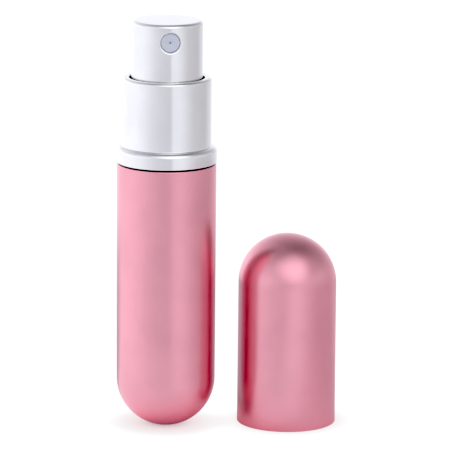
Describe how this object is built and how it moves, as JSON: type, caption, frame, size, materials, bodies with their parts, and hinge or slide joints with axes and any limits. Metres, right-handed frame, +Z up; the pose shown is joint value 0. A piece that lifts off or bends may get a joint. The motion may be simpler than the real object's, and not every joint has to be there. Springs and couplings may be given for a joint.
{
  "type": "refillable purse perfume atomiser",
  "caption": "Slim refillable perfume atomiser in satin pink aluminium with a silver collar and spray button, its domed pink cap standing beside it.",
  "frame": {"origin": "middle of the flat under the bottle's round base, on the surface that the bottle and its cap stand on", "axes": "+Z up along the bottle's axis, -Y the way the spray leaves, +X towards the cap"},
  "size_m": [0.0381, 0.0172, 0.0705],
  "materials": {
    "pink_aluminium": "satin anodised pink",
    "silver_aluminium": "satin anodised silver",
    "nozzle_plastic": "moulded, light grey",
    "white_plastic": "moulded, white",
    "black_plastic": "moulded, black",
    "clear_plastic": "extruded, translucent",
    "vial_glass": "clear, smooth",
    "seal_rubber": "soft, matt",
    "steel": "bright drawn wire and ball"
  },
  "bodies": {
    "bottle": {"outer_shell": "pink_aluminium", "inner_vial": "vial_glass", "vial_retaining_ring": "black_plastic", "vial_cushion": "seal_rubber"},
    "pump": {"neck_gasket": "seal_rubber", "pump_housing": "white_plastic", "piston_retainer": "white_plastic", "dip_tube": "clear_plastic", "return_spring": "steel"},
    "closure": {"collar_shell": "silver_aluminium", "screw_closure": "white_plastic"},
    "inlet_valve": {"inlet_ball": "steel"},
    "plunger": {"piston": "seal_rubber", "outlet_pin": "white_plastic"},
    "spray_head": {"stem": "white_plastic", "actuator_core": "white_plastic", "nozzle_insert": "nozzle_plastic", "actuator_shell": "silver_aluminium"},
    "cap": {"cap_shell": "pink_aluminium", "cap_liner": "white_plastic"}
  },
  "joints": [
    {"name": "pump_rise", "type": "slide", "parent": "bottle", "child": "pump", "axis": [0, 0, 1], "range_m": [0, 0.00318]},
    {"name": "collar_unscrew", "type": "hinge", "parent": "pump", "child": "closure", "pos_m": [0, 0, 0.0461], "axis": [0, 0, 1], "range_deg": [0, 545]},
    {"name": "ball_lift", "type": "slide", "parent": "pump", "child": "inlet_valve", "axis": [0, 0, 1], "range_m": [0, 0.0005]},
    {"name": "actuator_press", "type": "slide", "parent": "pump", "child": "plunger", "axis": [0, 0, -1], "range_m": [0, 0.0035], "stiffness_N_per_m": 900, "springref_m": -0.003, "deforming": ["return_spring"]},
    {"name": "actuator_turn", "type": "hinge", "parent": "plunger", "child": "spray_head", "pos_m": [0, 0, 0.05755], "axis": [0, 0, 1], "continuous": true},
    {"name": "cap_lift", "type": "slide", "parent": "bottle", "child": "cap", "axis": [0, 0, 1], "range_m": [0, 0.075]}
  ],
  "couplings": [
    {"joint": "collar_unscrew", "follows": "pump_rise", "rad_per_m": 2968}
  ]
}
